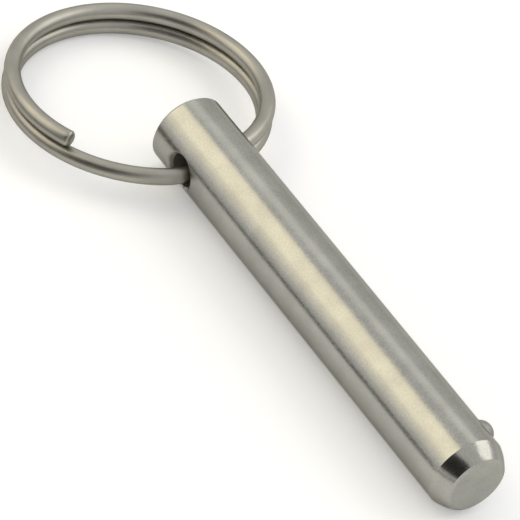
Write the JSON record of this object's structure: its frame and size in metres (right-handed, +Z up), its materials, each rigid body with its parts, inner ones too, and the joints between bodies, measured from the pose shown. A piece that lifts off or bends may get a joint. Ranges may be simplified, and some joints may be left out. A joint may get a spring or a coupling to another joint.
{
  "type": "ball lock pin",
  "caption": "Headless quick-release pin: a turned steel shank with a spring-loaded detent ball near its nose and a split ring through its head end.",
  "frame": {"origin": "on the shank's axis, half way between the ring hole and the detent ball, in the middle of the plain grip", "axes": "+X along the shank towards the nose, +Z up as the pin lies at rest, +Y across it; the ring hole runs nearly along Y"},
  "size_m": [0.058, 0.0218, 0.0064],
  "materials": {
    "shank_steel": "fine-turned satin stainless steel",
    "ball_steel": "polished stainless steel",
    "spring_steel": "drawn spring wire",
    "ring_wire": "drawn stainless wire, satin"
  },
  "bodies": {
    "shank": {"shank": "shank_steel", "detent_spring": "spring_steel"},
    "ball": {"detent_ball": "ball_steel"},
    "ring": {"split_ring": "ring_wire"}
  },
  "joints": [
    {"name": "ball_press", "type": "slide", "parent": "shank", "child": "ball", "axis": [0, 0.8387, 0.5446], "range_m": [-0.0005, 0], "stiffness_N_per_m": 1300, "springref_m": 0.001, "deforming": ["detent_spring"]},
    {"name": "ring_swing", "type": "hinge", "parent": "shank", "child": "ring", "pos_m": [-0.0169, 0, 0], "axis": [0, 0.9962, 0.0872], "range_deg": [-160, 170]}
  ]
}
